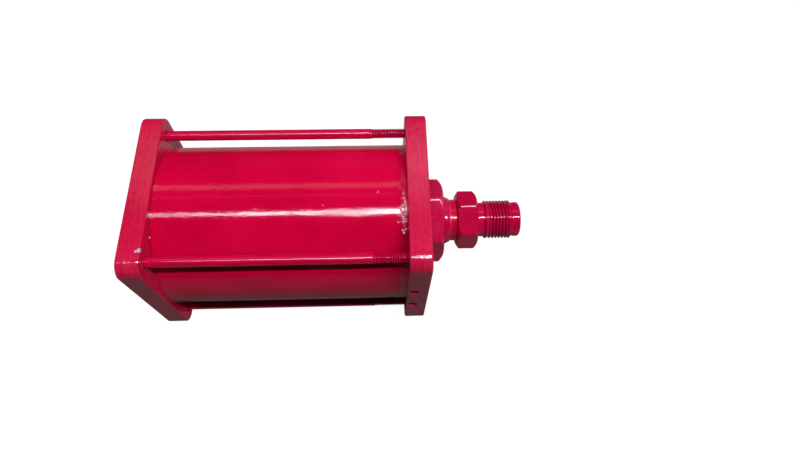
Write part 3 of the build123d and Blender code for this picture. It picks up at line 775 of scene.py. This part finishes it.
def make_barrel():
    """Tube whose paint has pooled into a small uneven fillet against each plate."""

    def shape(x, r, angle):
        flare = np.clip(r - BARREL_RADIUS, 0, None)
        uneven = (0.80 + 0.09 * np.sin(3 * angle + 1.0) + 0.06 * np.sin(11 * angle + 0.4)
                  + 0.05 * np.sin(29 * angle))
        outside = (r > BARREL_RADIUS - 0.5 * MM).astype(float)
        wave = (
            0.012 * np.sin(TAU * x / 0.043 + 2 * angle) + 0.010 * np.sin(TAU * x / 0.019 + 5 * angle + 1.3)
            + 0.008 * np.sin(TAU * x / 0.031 - 7 * angle + 0.5)
        ) * MM
        ends = fading(x, REAR_INNER, FRONT_INNER, 3 * MM)
        return r - flare * (1 - uneven) + wave * ends * outside - 0.03 * MM * outside * ends

    lead, skin = 0.6 * MM, 0.03 * MM
    bead = BARREL_RADIUS + PAINT_FILLET
    return turned("barrel_tube", [
        (REAR_INNER, BORE_RADIUS + lead, 0), (REAR_INNER, bead, 0),
        (REAR_INNER + skin, bead, 0), (REAR_INNER + skin, BARREL_RADIUS, PAINT_FILLET),
        (FRONT_INNER - skin, BARREL_RADIUS, PAINT_FILLET), (FRONT_INNER - skin, bead, 0),
        (FRONT_INNER, bead, 0), (FRONT_INNER, BORE_RADIUS + lead, 0.1 * MM),
        (FRONT_INNER - 2 * lead, BORE_RADIUS, 0.3 * MM), (REAR_INNER + 2 * lead, BORE_RADIUS, 0.3 * MM),
    ], 360, step=1.5 * MM, shape=shape, closed=True)


def make_tie_bolt(node):
    """Socket head screw: knurled head, plain shank, and thread that runs out before the front plate."""
    low, high = BOLTS[node]
    head_radius = (high.z - low.z) / 2
    top, seat, tip = low.x, REAR_OUTER + COUNTERBORE_DEPTH, high.x
    socket_corner = BOLT_SOCKET_FLAT / math.cos(TAU / 12)
    thread_start = tip - BOLT_THREAD_LENGTH
    thread_end = FRONT_INNER + 3 * MM

    def shape(x, r, angle):
        in_socket = (x < top + BOLT_SOCKET_DEPTH + 0.1 * MM) & (r < socket_corner + 0.05 * MM)
        r = np.where(in_socket, np.minimum(r, hexagon(angle, BOLT_SOCKET_FLAT)), r)
        on_head = (x > top + 0.7 * MM) & (x < seat - 0.4 * MM) & (r > head_radius - 0.1 * MM)
        return np.where(on_head, r - 0.07 * MM * (1 - np.cos(24 * angle)), r)

    plain = [
        (top + BOLT_SOCKET_DEPTH + 0.8 * MM, 0, 0), (top + BOLT_SOCKET_DEPTH, socket_corner, 0),
        (top + 0.25 * MM, socket_corner, 0), (top, socket_corner + 0.3 * MM, 0.1 * MM),
        (top, head_radius, 0.6 * MM), (seat, head_radius, 0.3 * MM), (seat, BOLT_RADIUS, 0.3 * MM),
        (thread_start, BOLT_RADIUS, 0),
    ]
    end = [(tip - 0.5 * MM, BOLT_RADIUS, 0), (tip, BOLT_RADIUS - 0.5 * MM, 0), (tip, 0, 0)]
    return screwed(node + "_painted", divided(rounded(plain), 1.5 * MM), divided(rounded(end), 1.5 * MM),
                   thread_end - thread_start, BOLT_PITCH, BOLT_THREAD_DEPTH, 96, shape, bolt_centre(node))


def make_gland():
    """Hexagon gland with its stepped bore; the stem and bore are hidden inside the front plate."""
    corner = GLAND_FLAT / math.cos(TAU / 12) + 0.1 * MM
    rise = corner - (GLAND_FLAT - 0.3 * MM)

    def shape(x, r, angle):
        outside = (x > FRONT_OUTER - 0.01 * MM) & (r > GLAND_NECK_RADIUS - 0.3 * MM)
        return np.where(outside, smaller(r, hexagon(angle - GLAND_TURN, GLAND_FLAT)), r)

    stem_end, bush_end, wiper_seat = FRONT_OUTER - 1.8 * MM, FRONT_SPIGOT + 12.5 * MM, GLAND_FACE - 3.2 * MM
    seal = FRONT_OUTER - 0.8 * MM
    seal_end = seal + 4.4 * MM
    return turned("gland_nut", [
        (FRONT_SPIGOT, BUSH_BORE, 0), (FRONT_SPIGOT, GLAND_STEM_RADIUS, 0.7 * MM),
        (stem_end, GLAND_STEM_RADIUS, 0.2 * MM), (stem_end, GLAND_NECK_RADIUS, 0.2 * MM),
        (FRONT_OUTER, GLAND_NECK_RADIUS, 0), (FRONT_OUTER, corner, 0.25 * MM),
        (GLAND_FACE - HEX_SLOPE * rise, corner, 0.8 * MM), (GLAND_FACE, corner - rise, 0.6 * MM),
        (GLAND_FACE, WIPER_BORE, 0.25 * MM), (wiper_seat, WIPER_BORE, 0.1 * MM),
        (wiper_seat, ROD_BORE, 0.1 * MM), (seal_end, ROD_BORE, 0.1 * MM),
        (seal_end, SEAL_BORE, 0.1 * MM), (seal, SEAL_BORE, 0.1 * MM),
        (seal, ROD_BORE, 0.1 * MM), (bush_end, ROD_BORE, 0.1 * MM), (bush_end, BUSH_BORE, 0.1 * MM),
    ], 288, step=0.45 * MM, shape=shape, closed=True)


def make_wiper():
    """Rubber ring with a collar outside the gland and a lip that tapers down to the rod."""
    base, tip = wiper[0].x, wiper[1].x
    inner, outer, collar = ROD_RADIUS + 0.04 * MM, wiper[1].z, WIPER_COLLAR_RADIUS
    neck, shoulder = collar - 0.4 * MM, GLAND_FACE - 0.6 * MM
    return turned("wiper_ring", [
        (base, inner, 0), (base, outer, 0.2 * MM), (shoulder, outer, 0.2 * MM),
        (shoulder, neck, 0.2 * MM), (GLAND_FACE + 0.3 * MM, neck, 0.15 * MM),
        (GLAND_FACE + 0.7 * MM, collar, 0.2 * MM), (GLAND_FACE + 2.0 * MM, collar - 0.2 * MM, 0.5 * MM),
        (tip, inner + 0.45 * MM, 0.2 * MM), (tip, inner, 0.1 * MM),
    ], 144, step=0.6 * MM, closed=True)


def make_rod():
    """Rod with a thinner spigot for the piston and a hole for the stud's spigot."""
    low, piston_face = rod[0].x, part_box("piston")[1].x
    hole_end = ROD_END - ROD_HOLE_DEPTH
    return turned("chromed_rod", [
        (low, 0, 0), (low, ROD_SPIGOT_RADIUS - 0.6 * MM, 0), (low + 0.6 * MM, ROD_SPIGOT_RADIUS, 0.2 * MM),
        (piston_face, ROD_SPIGOT_RADIUS, 0), (piston_face, ROD_RADIUS, 0.2 * MM),
        (ROD_END - 0.3 * MM, ROD_RADIUS, 0.2 * MM), (ROD_END, ROD_RADIUS - 0.3 * MM, 0.1 * MM),
        (ROD_END, ROD_HOLE_RADIUS, 0.1 * MM), (hole_end, ROD_HOLE_RADIUS, 0.1 * MM), (hole_end, 0, 0),
    ], 128, step=2.5 * MM)


def make_stud():
    """Stud: hexagon with turned chamfers, undercut, full-depth thread and a plain rounded nose."""
    low, hex_end = stud[0].x, ROD_END + STUD_HEX_LENGTH
    thread_start = hex_end + STUD_RELIEF_LENGTH
    thread_end = thread_start + STUD_THREAD_LENGTH
    corner = STUD_FLAT / math.cos(TAU / 12) + 0.1 * MM
    rise = corner - (STUD_FLAT - 0.3 * MM)

    def shape(x, r, angle):
        on_hex = (x > ROD_END - 0.01 * MM) & (x < hex_end + 0.01 * MM) & (r > 9.5 * MM)
        return np.where(on_hex, smaller(r, hexagon(angle - STUD_TURN, STUD_FLAT)), r)

    front = [
        (low, 0, 0), (low, STUD_SPIGOT_RADIUS - 1 * MM, 0), (low + 1 * MM, STUD_SPIGOT_RADIUS, 0),
        (ROD_END, STUD_SPIGOT_RADIUS, 0), (ROD_END, corner - rise, 0.4 * MM),
        (ROD_END + HEX_SLOPE * rise, corner, 0.5 * MM), (hex_end - HEX_SLOPE * rise, corner, 0.5 * MM),
        (hex_end, corner - rise, 0.4 * MM),
        (hex_end, STUD_RELIEF_RADIUS, 0.35 * MM), (thread_start - 0.2 * MM, STUD_RELIEF_RADIUS, 0.2 * MM),
        (thread_start + 0.6 * MM, STUD_THREAD_RADIUS, 0),
    ]
    undercut = STUD_NOSE_RADIUS - 0.3 * MM
    nose = [
        (thread_end, undercut, 0), (thread_end + 0.6 * MM, undercut, 0.3 * MM),
        (thread_end + 1.8 * MM, STUD_NOSE_RADIUS, 0.8 * MM), (STUD_END, STUD_NOSE_RADIUS, 1.3 * MM),
        (STUD_END, 0, 0),
    ]
    return screwed("threaded_stud", divided(rounded(front), 0.35 * MM), divided(rounded(nose), 0.5 * MM),
                   STUD_THREAD_LENGTH - 1.2 * MM, STUD_PITCH, STUD_THREAD_DEPTH, 192, shape)


# ---- Build ------------------------------------------------------------------------------------------

REAR_CHIPS = (
    (Vector((9.7, -29.3, 39.6)) * MM, 1.05 * MM),
    (Vector((8.3, -29.9, 39.7)) * MM, 0.7 * MM),
)
DOTS = (
    (Vector((9.8, -20.6, 32.2)) * MM, 0.55 * MM),
    (Vector((7.8, -25.9, 28.2)) * MM, 0.50 * MM),
)
LUMP = Vector((52.4, -33.9, 17.3)) * MM
PLATE_LINE = Vector((0.0, -34.9, 39.3)) * MM

paint_on_rear = plate_paint("plate_paint_rear", PLATE_TONES_WITH_SHEEN, peel=3.0, ripples=5e-5, marks=2.5e-5,
                            sides=(REAR_OUTER, REAR_INNER), chips=REAR_CHIPS)
paint_on_front = plate_paint("plate_paint_front", FRONT_TONES_WITH_SHEEN, peel=3.5, ripples=6e-5, marks=3.0e-5,
                             sides=(FRONT_INNER, FRONT_OUTER))
paint_on_bolts, paint_on_gland = bolt_paint(), gland_paint()
chrome = chrome_with_painted_neck("rod_chrome", GLAND_FACE + PAINTED_NECK)

settle(make_rear_plate(), "cylinder_body", paint_on_rear, "plate_paint", "rear_plate")
settle(make_front_plate(), "cylinder_body", paint_on_front, "plate_paint", "front_plate")
settle(make_barrel(), "cylinder_body", barrel_paint(), "barrel_paint", "barrel")
for name in BOLTS:
    settle(make_tie_bolt(name), "cylinder_body", paint_on_bolts, "bolt_paint", name, sharp_degrees=75)
settle(make_gland(), "cylinder_body", paint_on_gland, "gland_paint", "rod_gland", sharp_degrees=60)
settle(make_wiper(), "cylinder_body", paint_on_gland, "wiper_rubber", "rod_wiper")
settle(make_rod(), "piston_and_rod", chrome, "rod_chrome", "piston_rod")
settle(make_stud(), "piston_and_rod", stud_paint(), "stud_paint", "rod_end_stud", sharp_degrees=75)

INNER_FINISHES = {
    "seal_rubber": dark_elastic("seal_rubber", (0.018, 0.018, 0.019)),
    "bumper_rubber": dark_elastic("bumper_rubber", (0.045, 0.030, 0.012)),
    "wear_ring_plastic": dark_elastic("wear_ring_plastic", (0.16, 0.11, 0.05)),
    "piston_alloy": turned_metal("piston_alloy", (0.80, 0.80, 0.82), (0.62, 0.63, 0.66), 0.25, 0.18 * MM),
    "plain_steel": turned_metal("plain_steel", (0.52, 0.50, 0.46), (0.34, 0.33, 0.32), 0.32, 0.3 * MM),
    "bush_bronze": turned_metal("bush_bronze", (0.62, 0.38, 0.16), (0.42, 0.24, 0.10), 0.3, 0.2 * MM),
}
for part in frame["record"]["subparts"]:
    node = frame["nodes"][part["node"]]
    if not node.hide_render:
        dress(node, INNER_FINISHES[part["material_slot"]])

# ---- Floor, lights and camera -----------------------------------------------------------------------


def make_floor():
    """Pale floor: near white to the camera, and a pale sheet with darker surroundings to everything else."""
    half, object_centre = 6.0, 0.08
    corners = [(x * half, y * half, FLOOR_Z) for x, y in ((-1, -1), (1, -1), (1, 1), (-1, 1))]
    floor = mesh_object("studio_floor", corners, [(0, 1, 2, 3)])
    s = Surface("floor")
    across, along = s.away(1), s.away(0, object_centre)
    on_sheet = s.step(across, 0.225, 0.175)
    beyond = s.step(along, 0.25, 0.70)
    seen = s.node("ShaderNodeBsdfDiffuse", {"Color": (0.12, 0.12, 0.12, 1)}).outputs[0]
    away = s.step(s.maths("MAXIMUM", across, along), 0.35, 1.5, 0.945, 1.0)
    glow = s.node("ShaderNodeEmission", {"Color": (1, 1, 1, 1), "Strength": away}).outputs[0]
    to_camera = s.node("ShaderNodeAddShader", {0: seen, 1: glow}).outputs[0]
    side = s.step(s.axis(1), -0.05, 0.05)
    mirrored = s.mix(on_sheet, (0.012, 0.012, 0.012), s.mix(side, (0.118, 0.118, 0.122), (0.27, 0.27, 0.27)))
    mirrored = s.mix(beyond, mirrored, (0.15, 0.15, 0.15))
    path = s.node("ShaderNodeLightPath")
    grey = s.mix(path.outputs["Is Diffuse Ray"], mirrored, (0.06, 0.06, 0.06))
    to_object = s.node("ShaderNodeBsdfDiffuse", {"Color": grey}).outputs[0]
    is_camera = path.outputs["Is Camera Ray"]
    both = s.node("ShaderNodeMixShader", {0: is_camera, 1: to_object, 2: to_camera}).outputs[0]
    s.tree.links.new(both, s.tree.nodes["Material Output"].inputs["Surface"])
    dress(floor, s.material)


def make_world():
    world = bpy.data.worlds.new("studio")
    bpy.context.scene.world = world
    world.use_nodes = True
    tree = world.node_tree
    pale = tree.nodes["Background"]
    pale.inputs["Color"].default_value = (1.0, 1.0, 1.0, 1)
    dim = tree.nodes.new("ShaderNodeBackground")
    dim.inputs["Color"].default_value = (0.0035, 0.0035, 0.004, 1)
    path = tree.nodes.new("ShaderNodeLightPath")
    both = tree.nodes.new("ShaderNodeMixShader")
    tree.links.new(path.outputs["Is Camera Ray"], both.inputs[0])
    tree.links.new(dim.outputs[0], both.inputs[1])
    tree.links.new(pale.outputs[0], both.inputs[2])
    tree.links.new(both.outputs[0], tree.nodes["World Output"].inputs["Surface"])


def area_light(name, place, aim, length, width, radiance, colour=(1.0, 1.0, 1.0), glossy=True, diffuse=True,
               level=False):
    """Rectangular light at place: its length lies along X, or level and square on to the aim."""
    data = bpy.data.lights.new(name, "AREA")
    data.shape = "RECTANGLE"
    data.size, data.size_y = length, width
    data.energy = radiance * math.pi * length * width
    data.color = colour
    lamp = bpy.data.objects.new(name, data)
    bpy.context.scene.collection.objects.link(lamp)
    back = Vector(place) - Vector(aim)
    if not level:
        back.x = 0.0
    back.normalize()
    along = Vector((0, 0, 1)).cross(back).normalized() if level else Vector((1, 0, 0))
    side = back.cross(along).normalized()
    turn = Matrix((along, side, back)).transposed().to_4x4()
    lamp.matrix_world = Matrix.Translation(place) @ turn
    lamp.visible_camera = False
    lamp.visible_glossy, lamp.visible_diffuse = glossy, diffuse
    return lamp


def overhead(angle, distance, along):
    """Place above the object: angle is measured from the -Y horizon over the top."""
    a = math.radians(angle)
    return (along, -distance * math.cos(a), distance * math.sin(a))


CENTRE = (0.07, 0.0, 0.0)
STRIP = ((-0.40, 18.0), (-0.24, 30.0), (-0.08, 46.0), (0.08, 66.0), (1.12, 0.0))
for (start, radiance), (end, _) in zip(STRIP, STRIP[1:]):
    area_light("main_strip", overhead(79.0, 1.22, (start + end) / 2), CENTRE, end - start, 0.062,
               radiance, (0.69, 0.90, 1.06), diffuse=False)
area_light("key", overhead(80.0, 1.22, 0.60), CENTRE, 1.55, 0.045, 87.0, glossy=False)
area_light("soft_top", overhead(122.0, 1.3, 0.20), CENTRE, 1.2, 0.6, 1.1, glossy=False)
area_light("end_fill", (1.3, -0.15, 0.75), CENTRE, 0.5, 0.3, 3.5, glossy=False, level=True)
area_light("far_fill", (0.05, 1.3, 0.50), CENTRE, 0.8, 0.5, 2.6, glossy=False, level=True)
area_light("rear_fill", (-1.2, 0.25, 0.55), CENTRE, 0.8, 0.5, 3.2, glossy=False, level=True)
area_light("upper_band", overhead(104.0, 1.22, 0.06), CENTRE, 1.2, 0.035, 0.32, diffuse=False)
area_light("far_band", overhead(119.0, 1.3, 0.06), CENTRE, 1.2, 0.16, 0.75, diffuse=False)


def make_camera():
    """Seen from above the near side, close up."""
    azimuth, elevation, roll = math.radians(-4.424), math.radians(63.092), math.radians(3.108)
    aim, distance = Vector((120.68, 12.82, 6.49)) * MM, 303.99 * MM
    back = Vector((math.sin(azimuth) * math.cos(elevation), -math.cos(azimuth) * math.cos(elevation),
                   math.sin(elevation)))
    data = bpy.data.cameras.new("camera")
    data.lens, data.sensor_width = 27.115, 36.0
    data.shift_y = -0.0409
    data.clip_start, data.clip_end = 0.01, 50.0
    camera = bpy.data.objects.new("camera", data)
    bpy.context.scene.collection.objects.link(camera)
    turn = (-back).to_track_quat("-Z", "Y").to_matrix().to_4x4() @ Matrix.Rotation(roll, 4, "Z")
    camera.matrix_world = Matrix.Translation(aim + back * distance) @ turn
    bpy.context.scene.camera = camera


make_floor()
make_world()
make_camera()
bpy.context.scene.view_settings.view_transform = "Standard"
